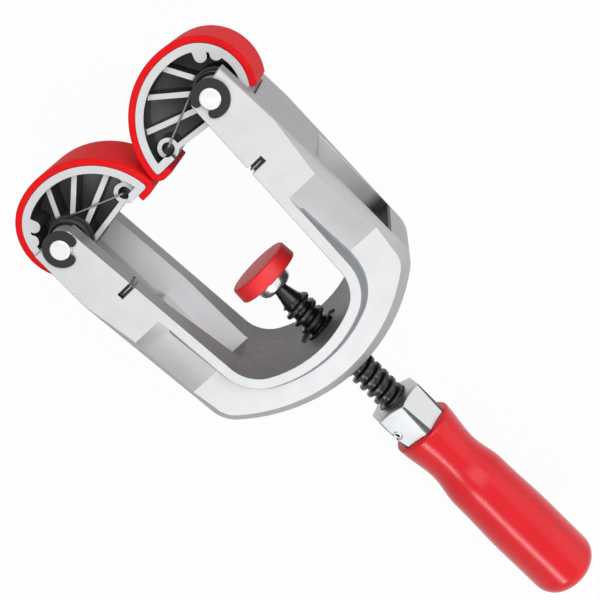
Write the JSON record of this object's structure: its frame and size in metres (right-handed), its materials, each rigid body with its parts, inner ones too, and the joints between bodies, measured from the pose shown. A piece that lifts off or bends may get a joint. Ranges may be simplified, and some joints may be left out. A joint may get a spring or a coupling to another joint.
{
  "type": "edge clamp",
  "caption": "U-shaped edge clamp with sprung eccentric cams that grip a panel's faces and a screw spindle whose swivel pad presses on the panel's edge.",
  "frame": {"origin": "on the back face, in the middle of the bow's inner rim at the crown, under the spindle axis", "axes": "+X across the throat, +Y along the spindle from the handle to the cams, +Z from the back face to the front face"},
  "size_m": [0.1076, 0.2612, 0.053],
  "materials": {
    "cast_bow": "bead-blasted casting",
    "cam_alloy": "die-cast, matt",
    "red_band": "smooth red elastomer",
    "red_handle": "glossy red",
    "bright_steel": "bright zinc",
    "black_steel": "black oxide",
    "clip_steel": "phosphated",
    "spring_steel": "drawn wire",
    "cup_brass": "plain"
  },
  "bodies": {
    "frame": {"bow": "cast_bow", "spindle_bush": "bright_steel", "left_pivot_pin": "bright_steel", "right_pivot_pin": "bright_steel", "left_front_clip": "clip_steel", "left_rear_clip": "clip_steel", "right_front_clip": "clip_steel", "right_rear_clip": "clip_steel", "left_cam_spring": "spring_steel", "right_cam_spring": "spring_steel"},
    "left_jaw": {"left_cam": "cam_alloy", "left_cam_band": "red_band"},
    "right_jaw": {"right_cam": "cam_alloy", "right_cam_band": "red_band"},
    "carrier": {"thrust_ball": "bright_steel"},
    "screw": {"spindle": "black_steel", "hex_ferrule": "bright_steel", "roll_pin": "bright_steel", "handle": "red_handle"},
    "cup": {"ball_cup": "cup_brass"},
    "pad": {"pad_socket": "bright_steel", "pad_cap": "red_band"}
  },
  "joints": [
    {"name": "left_cam_swing", "type": "hinge", "parent": "frame", "child": "left_jaw", "pos_m": [-0.038, 0.0912, 0.0243], "axis": [0, 0, -1], "range_deg": [0, 82], "stiffness_Nm_per_rad": 0.05, "springref_deg": -57.3, "deforming": ["left_cam_spring"]},
    {"name": "right_cam_swing", "type": "hinge", "parent": "frame", "child": "right_jaw", "pos_m": [0.038, 0.0912, 0.0243], "axis": [0, 0, 1], "range_deg": [0, 82], "stiffness_Nm_per_rad": 0.05, "springref_deg": -57.3, "deforming": ["right_cam_spring"]},
    {"name": "spindle_feed", "type": "slide", "parent": "frame", "child": "carrier", "axis": [0, 1, 0], "range_m": [-0.022, 0.02]},
    {"name": "spindle_turn", "type": "hinge", "parent": "carrier", "child": "screw", "pos_m": [0, 0, 0.0243], "axis": [0, 1, 0], "range_deg": [-1981, 1801]},
    {"name": "pad_tilt_x", "type": "hinge", "parent": "carrier", "child": "cup", "pos_m": [0, 0.0295, 0.0243], "axis": [1, 0, 0], "range_deg": [-5, 5]},
    {"name": "pad_tilt_z", "type": "hinge", "parent": "cup", "child": "pad", "pos_m": [0, 0.0295, 0.0243], "axis": [0, 0, 1], "range_deg": [-5, 5]}
  ],
  "couplings": [
    {"joint": "spindle_turn", "follows": "spindle_feed", "rad_per_m": 1570.8}
  ]
}
